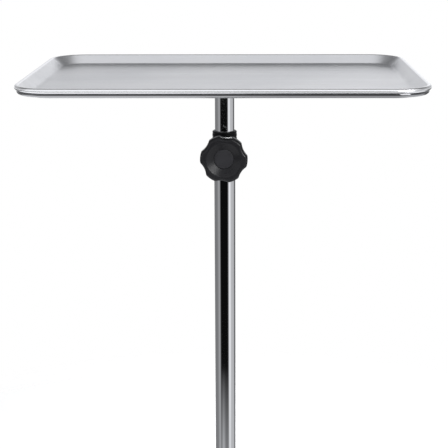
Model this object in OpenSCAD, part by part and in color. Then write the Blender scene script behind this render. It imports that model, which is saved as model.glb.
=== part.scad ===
// Instrument cart with a lift-out tray on a telescopic column.
// Units are millimetres. The origin is on the floor under the column, +Z is up
// and -Y is the front, where the clamp knob is.

/* [Tray] */
// Width of the tray over its rim
tray_w = 500; // [420:10:560]
// Front-to-back size of the tray over its rim
tray_d = 340; // [280:10:420]
// Corner radius of the rim
tray_corner_r = 48; // [40:1:60]
// Depth of the tray from the top of its rim to its floor
tray_depth = 12.5; // [11:0.5:20]
// Height of the rim's top above the floor of the room, as stored
tray_top_z = 830; // [800:5:900]

/* [Column] */
// Outer diameter of the sliding inner mast
mast_d = 25.4; // [22:0.1:30]
// Outer diameter of the fixed lower column
column_d = 28; // [25:0.1:34]
// Lowest point of the mast inside the column, as stored
mast_bottom_z = 200; // [160:5:260]

/* [Clamp] */
// Outer diameter of the collar on top of the column
collar_d = 32.4; // [31:0.2:40]
// Height of the collar
collar_h = 50; // [40:1:60]
// Diameter of the knob over its lobes
knob_d = 61; // [50:1:75]
// Number of lobes on the knob
knob_lobes = 6; // [5:1:8]

/* [Base] */
// Radius from the column to each caster stem
caster_circle_r = 252; // [220:2:300]
// Number of legs
leg_count = 5; // [5:1:5]
// Diameter of the caster wheels
wheel_d = 50; // [48:1:50]

/* [Hidden] */
$fn = 64;

chrome = [0.80, 0.81, 0.82];
satin_steel = [0.74, 0.75, 0.76];
black_plastic = [0.06, 0.06, 0.07];
grey_rubber = [0.42, 0.43, 0.45];
brass = [0.78, 0.62, 0.30];
zinc = [0.62, 0.64, 0.66];

// A running gap is left between a shaft and its bore, an open gap between pieces of
// different bodies that only pass each other.
running_gap = 0.06;
open_gap = 0.3;

// ---- Tray section: distance in from the rim's outer edge, height from the rim's top ----
sheet_t = 0.9;
bead_r = 3;
// The rolled edge goes round past its lowest point and stops clear of the rod.
bead_curl_end = 245;
fillet_r = 6;
wall_angle = 45;
bead_end = [bead_r + bead_r * sin(wall_angle), -bead_r + bead_r * cos(wall_angle)];
fillet_top_z = -tray_depth + fillet_r - fillet_r * cos(wall_angle);
fillet_top_s = bead_end[0] + (bead_end[1] - fillet_top_z) / tan(wall_angle);
fillet_centre = [fillet_top_s + fillet_r * sin(wall_angle), -tray_depth + fillet_r];
floor_inset = fillet_centre[0];
floor_lap = 3;
tray_under = tray_depth + sheet_t;

// ---- Tray frame ----
rod_d = 6.35;
// The rod lies against the outside of the sloping wall, under the bead.
rod_z = -7.6;
wall_line = bead_end[0] - sheet_t * sin(wall_angle) + bead_end[1] - sheet_t * cos(wall_angle);
rod_inset = wall_line - rod_z - (rod_d / 2 + open_gap) / sin(wall_angle);
ring_w = tray_w - 2 * rod_inset;
ring_d = tray_d - 2 * rod_inset;
ring_corner_r = tray_corner_r - rod_inset;
strap_w = 22;
strap_t = 3;
strap_y = 40;
strap_top = tray_top_z - tray_under - 1;
// The strap's flat run ends where the tray's wall starts to rise.
strap_flat = tray_w / 2 - 16.5;
strap_rise = -strap_top + tray_top_z + rod_z - rod_d / 2;
strap_end = ring_w / 2 + 1;
plate_x = 96;
plate_y = 112;
plate_t = 3;
plate_top = strap_top - strap_t;
socket_d = 32;
socket_h = 14;
socket_top = plate_top - plate_t;
socket_screw_z = socket_top - socket_h / 2;

// ---- Column and mast ----
tube_wall = 1.2;
mast_r = mast_d / 2;
mast_bore_r = mast_r - tube_wall;
column_r = column_d / 2;
column_bore_r = mast_r + 0.1;
mast_top_z = socket_top;
mast_foot_flange = 3;

// ---- Clamp ----
collar_top_z = tray_top_z - 80;
collar_z = collar_top_z - collar_h;
collar_lip = 3;
column_top_z = collar_top_z - collar_lip;
knob_z = collar_top_z - 28;
boss_r = 11;
boss_face_y = -31;
shoe_r = 4.9;
shoe_t = 4;
shoe_web = 1.5;
nut_r = 6.5;
nut_back_y = -22;
stud_r = 4;
stud_tip_r = 2.4;
stud_tip_h = 3;
stud_hole_h = 13;
rivet_r = 2;
rivet_head_r = 3.6;
rivet_head_h = 1.6;
rivet_below_knob = 16;
knob_back_y = -33.5;
knob_flange_y = -43;
knob_face_y = -58;
knob_hub_r = 13;
scallop_r = 24;
scallop_depth = 2.9;
scallop_turn = 25;
dish_outer_r = 22.4;
dish_inner_r = 12.9;
dish_depth = 6;
cap_t = 2;

// ---- Base ----
caster_top_z = 61;
leg_t = 2;
leg_in_r = 28;
leg_flat_r = 60;
leg_knee_r = caster_circle_r - 25;
leg_hub_bottom = 78;
leg_hub_top = 104;
leg_tip_top = 81;
leg_root_half = 19;
leg_tip_half = 14.5;
leg_bolt_rs = [38, 52];
leg_bolt_r = 3;
hub_plate_r = 60;
hub_plate_t = 5;
hub_plate_z = leg_hub_bottom - hub_plate_t;
boss_out_r = 21;
boss_top_z = 128;
column_bottom_z = leg_hub_bottom;
hub_bolt_r = 6;
hub_bolt_head_r = 10.4;
hub_bolt_head_h = 7;
hub_bolt_grip = 26;
washer_r = 13;
washer_t = 2.5;
hex_r = 5.7;
hex_h = 4;
bolt_gap = 0.2;
cover_r = 58;
cover_t = 1.2;
cover_rise = 12;

// ---- Casters ----
wheel_r = wheel_d / 2;
wheel_w = 15;
web_half = 4.4;
wheel_in_y = web_half + 0.6;
wheel_out_y = wheel_in_y + wheel_w;
caster_trail = 20;
axle_r = 3;
axle_half = wheel_out_y - 0.4;
wheel_clear_r = wheel_r + 1.2;
hood_r = wheel_clear_r + 2.3;
hood_half = wheel_out_y + 0.5;
housing_top = 57.6;
housing_boss_r = 11;
stem_low_r = 4;
stem_r = 5.5;
stem_flange_r = 9;
stem_bottom_z = 42;
stem_top_z = 77;
socket_out_r = 7.5;
// The way each caster trails, as an angle about its stem
caster_yaw = [158, 186, 140, 171, 196];
web_r = 21;
web_drop = 11;
// The hood covers the wheels' tops between these two angles about the axle.
hood_from = 30;
hood_to = 172;
// Each foot lever turns on a pin behind the hood, and its toe comes down on the treads.
lever_pivot_r = 33;
lever_pivot_angle = 34;
lever_half = 15;
lever_barrel_r = 3.2;
lever_pin_r = 1.5;
lug_r = 3.4;
lug_y = 17;
lug_t = 3;
// The casters that have a brake
braked = [1, 4];

function leg_angle(n) = -90 + 360 / leg_count * (n - 1);
function caster_at(n) = caster_circle_r * [cos(leg_angle(n)), sin(leg_angle(n))];
// A point beside the wheels, by its distance from the axle and its angle, as x and z.
function from_axle(r, a) = [caster_trail + r * cos(a), wheel_r + r * sin(a)];
lever_pivot = from_axle(lever_pivot_r, lever_pivot_angle);
function arc(centre, r, from, to, steps) =
    [for (k = [0:steps]) let (a = from + (to - from) * k / steps)
        centre + r * [cos(a), sin(a)]];

// The same outline on the other side of the middle, in the order that closes it.
function mirrored(points) =
    [for (k = [len(points) - 1:-1:0]) [-points[k][0], points[k][1]]];

// The tray wall's sheet, drawn as inset against height. Its outer side runs from the end
// of the rolled bead over the top and down the wall to the floor, its inner side comes back.
tray_section = concat(
    arc([bead_r, -bead_r], bead_r, bead_curl_end, wall_angle, 14),
    arc(fillet_centre, fillet_r, 180 + wall_angle, 270, 5),
    [[floor_inset + floor_lap, -tray_depth], [floor_inset + floor_lap, -tray_under]],
    arc(fillet_centre, fillet_r + sheet_t, 270, 180 + wall_angle, 5),
    arc([bead_r, -bead_r], bead_r - sheet_t, wall_angle, bead_curl_end, 10)
);

module rounded_plate(w, d, r, h) {
    linear_extrude(h) {
        square([w - 2 * r, d], center = true);
        square([w, d - 2 * r], center = true);
        for (x = [-1, 1], y = [-1, 1])
            translate([x * (w / 2 - r), y * (d / 2 - r)])
                circle(r);
    }
}

// Places its child at each side and corner of a rounded rectangle: the side's child is
// extruded, the corner's child is turned. The section is drawn as inset against height.
module round_frame(w, d, r) {
    for (turn = [0:3]) {
        across = turn % 2 == 0 ? w : d;
        along = turn % 2 == 0 ? d : w;
        rotate([0, 0, 90 * turn]) {
            translate([across / 2, along / 2 - r, 0])
                rotate([90, 0, 0])
                    linear_extrude(along - 2 * r)
                        mirror([1, 0])
                            children();
            translate([across / 2 - r, along / 2 - r, 0])
                rotate_extrude(angle = 90)
                    translate([r, 0])
                        mirror([1, 0])
                            children();
        }
    }
}

// ---- Tray and its frame ----

module tray() {
    color(satin_steel)
        translate([0, 0, tray_top_z]) {
            round_frame(tray_w, tray_d, tray_corner_r)
                polygon(tray_section);
            translate([0, 0, -tray_under])
                rounded_plate(tray_w - 2 * floor_inset, tray_d - 2 * floor_inset,
                    tray_corner_r - floor_inset, sheet_t);
        }
}

module tray_ring() {
    color(chrome)
        translate([0, 0, tray_top_z + rod_z])
            round_frame(ring_w, ring_d, ring_corner_r)
                circle(d = rod_d);
}

// A flat bar under the tray that turns up at each end to meet the ring's rod.
module strap(y) {
    // A bend of 45 degrees keeps its thickness when its lower side starts this much later.
    lag = strap_t * tan(45 / 2);
    upper = [
        [strap_flat, 0], [strap_flat + strap_rise, strap_rise], [strap_end, strap_rise]
    ];
    lower = [
        [strap_end, strap_rise - strap_t],
        [strap_flat + strap_rise + lag, strap_rise - strap_t],
        [strap_flat + lag, -strap_t]
    ];
    color(chrome)
        translate([0, y + strap_w / 2, strap_top])
            rotate([90, 0, 0])
                linear_extrude(strap_w)
                    polygon(concat(upper, lower, mirrored(lower), mirrored(upper)));
}

module mount_plate() {
    color(chrome)
        translate([0, 0, plate_top - plate_t])
            rounded_plate(plate_x, plate_y, 10, plate_t);
}

module mast_socket() {
    color(chrome)
        difference() {
            translate([0, 0, socket_top - socket_h])
                cylinder(d = socket_d, h = socket_h);
            translate([0, 0, socket_top - socket_h - 1])
                cylinder(r = mast_r + 0.02, h = socket_h + 2);
            translate([0, 0, socket_screw_z])
                rotate([-90, 0, 0])
                    cylinder(r = 3, h = socket_d);
        }
}

module socket_screw() {
    color(zinc)
        translate([0, mast_r + 0.05, socket_screw_z])
            rotate([-90, 0, 0])
                difference() {
                    cylinder(r = 2.98, h = 6);
                    translate([0, 0, 3])
                        cylinder(r = 1.7, h = 4, $fn = 6);
                }
}

// ---- Column ----

module tube(r_out, r_in, z0, z1) {
    translate([0, 0, z0])
        difference() {
            cylinder(r = r_out, h = z1 - z0);
            translate([0, 0, -1])
                cylinder(r = r_in, h = z1 - z0 + 2);
        }
}

module mast() {
    color(chrome)
        tube(mast_r, mast_bore_r, mast_bottom_z, mast_top_z);
}

module mast_foot() {
    color(black_plastic) {
        translate([0, 0, mast_bottom_z])
            cylinder(r = mast_bore_r, h = 18);
        translate([0, 0, mast_bottom_z - mast_foot_flange])
            cylinder(r = mast_r, h = mast_foot_flange);
    }
}

module column() {
    color(chrome)
        difference() {
            tube(column_r, column_bore_r, column_bottom_z, column_top_z);
            translate([0, 0, knob_z])
                rotate([90, 0, 0])
                    cylinder(r = shoe_r + 0.2, h = column_d);
        }
}

// ---- Clamp ----

module collar() {
    foot_round = 1;
    top_round = 2;
    color(black_plastic)
        difference() {
            union() {
                translate([0, 0, collar_z])
                    rotate_extrude()
                        polygon(concat(
                            [[0, 0]],
                            arc([collar_d / 2 - foot_round, foot_round], foot_round, -90, 0, 4),
                            arc([collar_d / 2 - top_round, collar_h - top_round], top_round, 0, 90, 5),
                            [[0, collar_h]]
                        ));
                translate([0, 0, knob_z])
                    rotate([90, 0, 0])
                        cylinder(r = boss_r, h = -boss_face_y);
            }
            translate([0, 0, collar_z - 1])
                cylinder(r = column_r, h = collar_h - collar_lip + 1);
            translate([0, 0, collar_z])
                cylinder(r = mast_r + 0.1, h = collar_h + 1);
            translate([0, 0, knob_z])
                rotate([90, 0, 0]) {
                    cylinder(r = shoe_r + 0.2, h = -nut_back_y);
                    translate([0, 0, -nut_back_y])
                        cylinder(r = nut_r, h = 12);
                }
            translate([0, 0, knob_z - rivet_below_knob])
                rotate([-90, 0, 0])
                    cylinder(r = rivet_r, h = collar_d);
        }
}

// The rivet that holds the collar to the column, at the back.
module collar_rivet() {
    dome_r = 5;
    color(zinc)
        translate([0, column_r, knob_z - rivet_below_knob])
            rotate([-90, 0, 0]) {
                cylinder(r = rivet_r, h = collar_d / 2 - column_r);
                translate([0, 0, collar_d / 2 - column_r])
                    intersection() {
                        cylinder(r = rivet_head_r, h = rivet_head_h);
                        translate([0, 0, rivet_head_h - dome_r])
                            sphere(r = dome_r);
                    }
            }
}

module clamp_nut() {
    color(brass)
        translate([0, nut_back_y, knob_z])
            rotate([90, 0, 0])
                difference() {
                    cylinder(r = nut_r, h = -boss_face_y + nut_back_y);
                    translate([0, 0, -1])
                        cylinder(r = stud_r + running_gap, h = 12);
                }
}

module brake_shoe() {
    color(brass)
        translate([0, -mast_r - open_gap, knob_z])
            rotate([90, 0, 0])
                difference() {
                    cylinder(r = shoe_r, h = shoe_t);
                    translate([0, 0, shoe_web])
                        cylinder(r = stud_tip_r + 0.2, h = shoe_t);
                }
}

module knob_outline() {
    difference() {
        circle(d = knob_d, $fn = 96);
        for (k = [0:knob_lobes - 1])
            rotate(scallop_turn + 360 / knob_lobes * k)
                translate([knob_d / 2 - scallop_depth + scallop_r, 0])
                    circle(scallop_r, $fn = 128);
    }
}

// The knob is drawn looking at its face, then stood up to face the front.
module knob() {
    color(black_plastic)
        translate([0, 0, knob_z])
            rotate([90, 0, 0])
                difference() {
                    union() {
                        translate([0, 0, -knob_flange_y])
                            linear_extrude(knob_flange_y - knob_face_y)
                                knob_outline();
                        translate([0, 0, -knob_back_y])
                            cylinder(r = knob_hub_r, h = knob_back_y - knob_flange_y + 1);
                    }
                    translate([0, 0, -knob_face_y - dish_depth])
                        cylinder(r1 = dish_inner_r, r2 = dish_outer_r, h = dish_depth);
                    translate([0, 0, -knob_face_y - dish_depth - cap_t])
                        cylinder(r = dish_inner_r, h = cap_t + 0.01);
                    translate([0, 0, -knob_back_y - 1])
                        cylinder(r = stud_r, h = stud_hole_h + 1);
                }
}

module knob_cap() {
    color(black_plastic)
        translate([0, knob_face_y + dish_depth + cap_t, knob_z])
            rotate([90, 0, 0])
                cylinder(r = dish_inner_r - 0.15, h = cap_t - 0.2);
}

module knob_stud() {
    // The tip stands in the shoe's cup, and the other end is moulded into the knob.
    tip_y = -mast_r - open_gap - shoe_web - 0.2;
    length = tip_y - knob_back_y + stud_hole_h - 0.5;
    color(zinc)
        translate([0, tip_y, knob_z])
            rotate([90, 0, 0]) {
                cylinder(r = stud_tip_r, h = stud_tip_h);
                translate([0, 0, stud_tip_h - 0.1])
                    cylinder(r = stud_r, h = length - stud_tip_h + 0.1);
            }
}

// ---- Base ----

module at_legs() {
    for (n = [1:leg_count])
        rotate([0, 0, leg_angle(n)])
            children();
}

module hub_plate() {
    color(chrome)
        translate([0, 0, hub_plate_z])
            difference() {
                cylinder(r = hub_plate_r, h = hub_plate_t, $fn = 96);
                translate([0, 0, -1])
                    cylinder(r = hub_bolt_r + 0.3, h = hub_plate_t + 2);
                at_legs()
                    for (r = leg_bolt_rs)
                        translate([r, 0, -1])
                            cylinder(r = leg_bolt_r + bolt_gap, h = hub_plate_t + 2);
            }
}

module hub_boss() {
    color(chrome)
        difference() {
            translate([0, 0, leg_hub_bottom])
                rotate_extrude()
                    polygon(concat(
                        [[0, 0], [boss_out_r, 0]],
                        arc([boss_out_r - 3, boss_top_z - leg_hub_bottom - 3], 3, 0, 90, 5),
                        [[0, boss_top_z - leg_hub_bottom]]
                    ));
            translate([0, 0, leg_hub_bottom - 1])
                cylinder(r = column_r, h = boss_top_z);
        }
}

// A pressed cap over the inner ends of the legs. Its skirt is notched for each leg and
// stands on the hub plate.
module hub_cover() {
    bowl_r = (cover_r * cover_r + cover_rise * cover_rise) / (2 * cover_rise);
    edge = asin(cover_r / bowl_r);
    hole = asin((boss_out_r + 0.2) / bowl_r);
    bowl_centre = [0, leg_hub_top + cover_rise - bowl_r];
    notch_half = leg_root_half + open_gap;
    color(chrome)
        difference() {
            rotate_extrude($fn = 96)
                polygon(concat(
                    [[cover_r, leg_hub_bottom], [cover_r + cover_t, leg_hub_bottom]],
                    arc(bowl_centre, bowl_r + cover_t, 90 - edge, 90 - hole, 16),
                    arc(bowl_centre, bowl_r, 90 - hole, 90 - edge, 16)
                ));
            at_legs()
                translate([leg_in_r, -notch_half, leg_hub_bottom - 1])
                    cube([cover_r, 2 * notch_half, leg_hub_top - leg_hub_bottom + 1]);
        }
}

module column_plug() {
    color(zinc)
        translate([0, 0, column_bottom_z])
            difference() {
                cylinder(r = column_bore_r, h = 28);
                translate([0, 0, -1])
                    cylinder(r = hub_bolt_r, h = 25);
            }
}

module hub_bolt() {
    color(zinc) {
        translate([0, 0, hub_plate_z - washer_t - hub_bolt_head_h])
            cylinder(r = hub_bolt_head_r, h = hub_bolt_head_h, $fn = 6);
        translate([0, 0, hub_plate_z - washer_t - 0.1])
            cylinder(r = hub_bolt_r, h = hub_bolt_grip);
    }
}

module hub_washer() {
    color(zinc)
        tube(washer_r, hub_bolt_r + 0.3, hub_plate_z - washer_t, hub_plate_z);
}

// A tapered box leg: the side outline and the plan outline cut each other, and the same
// pair, one wall smaller, hollows it and leaves its inner end open.
module leg_form(inset) {
    tip = caster_circle_r;
    root = leg_in_r - inset;
    past_tip = tip + 2 * leg_tip_half;
    intersection() {
        translate([0, 2 * leg_root_half, 0])
            rotate([90, 0, 0])
                linear_extrude(4 * leg_root_half)
                    polygon([
                        [root, leg_hub_bottom + inset],
                        [leg_flat_r, leg_hub_bottom + inset],
                        [leg_knee_r, caster_top_z + inset],
                        [past_tip, caster_top_z + inset],
                        [past_tip, leg_tip_top - inset],
                        [tip, leg_tip_top - inset],
                        [leg_flat_r, leg_hub_top - inset],
                        [root, leg_hub_top - inset]
                    ]);
        linear_extrude(leg_hub_top + 10)
            polygon(concat(
                [[root, -leg_root_half + inset]],
                arc([tip, 0], leg_tip_half - inset, -90, 90, 12),
                [[root, leg_root_half - inset]]
            ));
    }
}

module leg(n) {
    color(chrome)
        rotate([0, 0, leg_angle(n)])
            difference() {
                leg_form(0);
                leg_form(leg_t);
                translate([caster_circle_r, 0, caster_top_z - 1])
                    cylinder(r = socket_out_r, h = leg_t + 2);
                for (r = leg_bolt_rs)
                    translate([r, 0, leg_hub_bottom - 1])
                        cylinder(r = leg_bolt_r + bolt_gap, h = leg_t + 2);
            }
}

// Two screws a leg, each with its nut inside the leg.
module leg_bolts() {
    color(zinc)
        at_legs()
            for (r = leg_bolt_rs)
                translate([r, 0, hub_plate_z]) {
                    translate([0, 0, -hex_h])
                        cylinder(r = hex_r, h = hex_h, $fn = 6);
                    translate([0, 0, -0.1])
                        cylinder(r = leg_bolt_r, h = hub_plate_t + leg_t + 8);
                    translate([0, 0, hub_plate_t + leg_t])
                        cylinder(r = hex_r, h = hex_h + 1, $fn = 6);
                }
}

module stem_sockets() {
    color(zinc)
        at_legs()
            translate([caster_circle_r, 0, 0])
                tube(socket_out_r, stem_r + 0.03, caster_top_z, leg_tip_top - leg_t);
}

// ---- Casters ----

// Stands its child over a caster's place, turned the way that the caster trails.
module at_caster(n) {
    translate([caster_at(n)[0], caster_at(n)[1], 0])
        rotate([0, 0, caster_yaw[n - 1]])
            children();
}

// A round bar across the caster, along the axle's direction, centred on it.
module cross_bar(x, z, r, half) {
    translate([x, half, z])
        rotate([90, 0, 0])
            cylinder(r = r, h = 2 * half);
}

module caster_stem(n) {
    color(zinc)
        at_caster(n) {
            translate([0, 0, stem_bottom_z])
                cylinder(r = stem_low_r, h = stem_top_z - stem_bottom_z);
            translate([0, 0, housing_top + open_gap])
                cylinder(r = stem_flange_r, h = caster_top_z - housing_top - open_gap);
            translate([0, 0, caster_top_z - 0.1])
                cylinder(r = stem_r, h = stem_top_z - caster_top_z);
        }
}

// What of its child lies above a sloping plane over the axle.
module above_hood_edge() {
    tilt = (hood_from + hood_to) / 2 - 90;
    height = hood_r * sin(hood_from - tilt);
    intersection() {
        children();
        translate([caster_trail, 0, wheel_r])
            rotate([0, -tilt, 0])
                translate([-2 * hood_r, -2 * hood_r, height])
                    cube(4 * hood_r);
    }
}

// A centre web with the axle's bore, a hood over both wheels and a boss for the stem.
module caster_housing(n) {
    has_brake = len([for (b = braked) if (b == n) b]) > 0;
    color(black_plastic)
        at_caster(n)
            difference() {
                union() {
                    above_hood_edge()
                        cross_bar(caster_trail, wheel_r, hood_r, hood_half);
                    intersection() {
                        cross_bar(caster_trail, wheel_r, web_r, web_half);
                        translate([0, -web_half, wheel_r - web_drop])
                            cube([2 * wheel_r, 2 * web_half, 2 * web_r]);
                    }
                    translate([0, 0, wheel_r + 4])
                        cylinder(r = housing_boss_r, h = housing_top - wheel_r - 4);
                    translate([0, -housing_boss_r, wheel_r + 20])
                        cube([caster_trail, 2 * housing_boss_r, 7]);
                    if (has_brake)
                        for (y = [-lug_y - lug_t, lug_y])
                            brake_lug(y);
                }
                for (y = [-hood_half - 1, web_half])
                    translate([caster_trail, y + hood_half + 1 - web_half, wheel_r])
                        rotate([90, 0, 0])
                            cylinder(r = wheel_clear_r, h = hood_half + 1 - web_half);
                cross_bar(caster_trail, wheel_r, axle_r, hood_half);
                translate([0, 0, stem_bottom_z - 1])
                    cylinder(r = stem_low_r + running_gap, h = housing_top - stem_bottom_z + 2);
                if (has_brake)
                    cross_bar(lever_pivot[0], lever_pivot[1], lever_pin_r, hood_half);
            }
}

// One of the two ears that hold the lever's pin, from y outwards.
module brake_lug(y) {
    foot = from_axle(wheel_clear_r + 1, lever_pivot_angle + 2);
    hull()
        for (p = [lever_pivot, foot])
            translate([p[0], y + lug_t, p[1]])
                rotate([90, 0, 0])
                    cylinder(r = lug_r, h = lug_t, $fn = 32);
}

module caster_axle(n) {
    color(zinc)
        at_caster(n) {
            cross_bar(caster_trail, wheel_r, axle_r, axle_half);
            for (side = [-1, 1])
                translate([caster_trail, side * (axle_half - 0.6), wheel_r])
                    rotate([90, 0, 0])
                        cylinder(r = 4.8, h = 1.2, center = true);
        }
}

// Half of a wheel's section: radius against distance from the wheel's inner face.
wheel_section = concat(
    [[axle_r + running_gap, 0], [9, 0], [11, 2.5], [19, 2.5], [21, 0.6]],
    arc([wheel_r - 3, 3], 3, -90, 0, 4),
    arc([wheel_r - 3, wheel_w - 3], 3, 0, 90, 4),
    [[21, wheel_w - 0.6], [19, wheel_w - 2], [11, wheel_w - 1.2],
        [8, wheel_w - 1.2], [8, wheel_w - 2.2], [axle_r + running_gap, wheel_w - 2.2]]
);

module wheel(n, side) {
    color(grey_rubber)
        at_caster(n)
            translate([caster_trail, side * wheel_in_y, wheel_r])
                rotate([-90 * side, 0, 0])
                    rotate_extrude($fn = 96)
                        polygon(wheel_section);
}

// A foot pedal with a barrel round the pin and a toe that bears on both treads.
module brake_lever(k) {
    toe_r = wheel_r + 2.2;
    toe = [
        from_axle(toe_r + 2.2, 27), from_axle(toe_r, 19), from_axle(toe_r + 0.3, 11),
        from_axle(toe_r + 2.8, 10), from_axle(toe_r + 4.4, 20)
    ];
    pedal = [[2.6, -2], [9, 0.6], [23, 6.4], [22, 8], [8, 3.6], [0, lever_barrel_r]];
    color(black_plastic)
        at_caster(braked[k - 1])
            difference() {
                union() {
                    cross_bar(lever_pivot[0], lever_pivot[1], lever_barrel_r, lever_half);
                    translate([0, lever_half, 0])
                        rotate([90, 0, 0])
                            linear_extrude(2 * lever_half)
                                polygon(concat(toe, [for (p = pedal) lever_pivot + p]));
                }
                cross_bar(lever_pivot[0], lever_pivot[1], lever_pin_r + running_gap, hood_half);
            }
}

module brake_pin(k) {
    color(zinc)
        at_caster(braked[k - 1])
            cross_bar(lever_pivot[0], lever_pivot[1], lever_pin_r, lug_y + lug_t + 0.4);
}

tray();
tray_ring();
strap(-strap_y);  // front_strap
strap(strap_y);  // rear_strap
mount_plate();
mast_socket();
socket_screw();
mast();
mast_foot();
column();
collar();
collar_rivet();
clamp_nut();
brake_shoe();
knob();
knob_cap();
knob_stud();
hub_plate();
hub_boss();
hub_cover();
column_plug();
hub_bolt();
hub_washer();
for (n = [1:leg_count]) {
    leg(n);
    caster_stem(n);
    caster_housing(n);
    caster_axle(n);
    wheel(n, 1);
    wheel(n, -1);
}
leg_bolts();
stem_sockets();
for (k = [1:len(braked)]) {
    brake_lever(k);
    brake_pin(k);
}
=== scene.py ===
# %% [markdown]
# # An instrument cart in polished steel
# A tray on a telescopic column, held by one clamp knob, over five legs on twin-wheel
# casters. The working model comes in first as a frame: it knows where every part is and
# how it moves. Everything below gives those parts their true surfaces and finishes.
# The box of the frame is kept, because the finished pieces have to fill the same space.

import bmesh
import bpy
import numpy as np
from mathutils import Matrix, Vector


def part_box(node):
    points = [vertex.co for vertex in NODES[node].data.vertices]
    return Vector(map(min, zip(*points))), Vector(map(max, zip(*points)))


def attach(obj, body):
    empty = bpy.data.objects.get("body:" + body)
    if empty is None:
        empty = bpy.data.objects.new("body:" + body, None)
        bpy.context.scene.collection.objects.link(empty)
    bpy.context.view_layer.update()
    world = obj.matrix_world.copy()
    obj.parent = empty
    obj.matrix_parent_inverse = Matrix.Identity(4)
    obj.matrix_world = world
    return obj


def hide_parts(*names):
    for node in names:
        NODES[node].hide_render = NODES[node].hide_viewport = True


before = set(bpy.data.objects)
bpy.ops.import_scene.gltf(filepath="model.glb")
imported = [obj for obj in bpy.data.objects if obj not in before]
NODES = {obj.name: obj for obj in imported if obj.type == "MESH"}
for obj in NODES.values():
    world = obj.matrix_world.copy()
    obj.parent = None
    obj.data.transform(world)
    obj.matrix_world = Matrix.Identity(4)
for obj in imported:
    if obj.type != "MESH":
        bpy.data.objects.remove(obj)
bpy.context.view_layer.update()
MM = 0.001


def corners(node):
    """The lowest and the highest corner of a node of the frame, as arrays of metres."""
    low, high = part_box(node)
    return np.array(low), np.array(high)


def middle(node):
    """The middle of a node's box."""
    return sum(corners(node)) / 2


# %% [markdown]
# ## The camera
# Blender's camera looks down its own -Z with +Y up, so a product view is easiest to give
# as a place and three turns: how far it looks down, how far it is turned to the side and
# how far it leans. A lens of 91 mm on a 36 mm sensor keeps the perspective of the tray
# calm, as a photographer's longer lens does. Nothing is shifted and nothing is blurred,
# so the same lens works from every other side too.

# %% Camera
CAMERA_PLACE = (0.0323, -1.4725, 1.0264)
CAMERA_DOWN = 15.37
CAMERA_LEFT = 1.306
CAMERA_LEAN = -0.206
LENS_MM = 90.8

camera_data = bpy.data.cameras.new("camera")
camera_data.sensor_width = 36
camera_data.lens = LENS_MM
camera = bpy.data.objects.new("camera", camera_data)
bpy.context.scene.collection.objects.link(camera)
upright = Matrix.Rotation(np.radians(90 - CAMERA_DOWN), 4, "X")
turned_left = Matrix.Rotation(np.radians(CAMERA_LEFT), 4, "Z")
leaning = Matrix.Rotation(np.radians(CAMERA_LEAN), 4, "Z")
camera.matrix_world = Matrix.Translation(CAMERA_PLACE) @ turned_left @ upright @ leaning
bpy.context.scene.camera = camera
print("camera", CAMERA_PLACE, "looks down", CAMERA_DOWN, "degrees")

# %% [markdown]
# ## Surfaces from numbers
# Every new piece is a grid of points worked out with numpy. Each cell of the grid becomes
# one four-sided face. A grid is closed in one of two ways: a direction wraps round to its
# own start, as round a tube, or its first and last rows shrink to a single point, as at
# the poles of a globe. The points that then lie on each other are merged, and a shell
# that came out inside out, which its negative volume shows, has its faces reversed.

# %% Grid to mesh
WELD = 1e-6


def cells(rows, columns, wrap_rows):
    """The corner numbers of each cell. The columns always wrap, the rows only if asked."""
    r, c = np.meshgrid(np.arange(rows - (not wrap_rows)), np.arange(columns), indexing="ij")
    down, right = (r + 1) % rows, (c + 1) % columns
    quads = [r * columns + c, r * columns + right, down * columns + right, down * columns + c]
    return np.stack(quads, axis=-1).reshape(-1, 4)


def outward(points, quads):
    """Turns the faces round if the volume, a sixth of the sum of a . (b x c), is negative."""
    a, b, c, d = (points[quads[:, k]] for k in range(4))
    volume = (np.einsum("ij,ij->i", a, np.cross(b, c) + np.cross(c, d))).sum() / 6
    return quads[:, ::-1] if volume < 0 else quads


def make_piece(name, *shells):
    """One object from one or more closed shells, each a grid of points and whether its
    rows wrap round. The object stays at the origin, and its place is in its mesh."""
    points, quads, start = [], [], 0
    for grid, wrap_rows in shells:
        flat = grid.reshape(-1, 3)
        quads.append(outward(flat, cells(*grid.shape[:2], wrap_rows)) + start)
        points.append(flat)
        start += len(flat)
    mesh = bpy.data.meshes.new(name)
    mesh.from_pydata(np.concatenate(points).tolist(), [], np.concatenate(quads).tolist())
    work = bmesh.new()
    work.from_mesh(mesh)
    bmesh.ops.remove_doubles(work, verts=work.verts, dist=WELD)
    work.to_mesh(mesh)
    work.free()
    mesh.shade_smooth()
    piece = bpy.data.objects.new(name, mesh)
    bpy.context.scene.collection.objects.link(piece)
    return piece


def mark(piece, name, rule):
    """Writes an attribute at every point of a piece: rule(x, y, z), kept from 0 to 1."""
    places = np.empty(3 * len(piece.data.vertices), np.float32)
    piece.data.vertices.foreach_get("co", places)
    value = np.clip(rule(*places.reshape(-1, 3).T), 0, 1).astype(np.float32)
    piece.data.attributes.new(name, "FLOAT", "POINT").data.foreach_set("value", value)


# %% [markdown]
# Real edges are never sharp: they are broken, rolled or moulded with a small radius, and
# that radius is what catches the light. So each profile is given as a few corners, each
# with its own radius, and one function turns the corners into arcs. It also puts a point
# just outside each end of an arc. Blender smooths the shading between points, and those
# extra points keep the flat stretches flat right up to the arc.

# %% Profiles with rounded corners
HOLD = 0.15


def unit(v):
    """A vector, or each row of an array of them, made one long."""
    return v / np.linalg.norm(v, axis=-1, keepdims=True)


def arc(centre, radius, start, stop, steps):
    """centre + radius * (cos a, sin a) while a goes from start to stop, in degrees."""
    a = np.radians(np.linspace(start, stop, steps + 1))
    return np.array(centre) + radius * np.stack([np.cos(a), np.sin(a)], axis=1)


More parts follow.
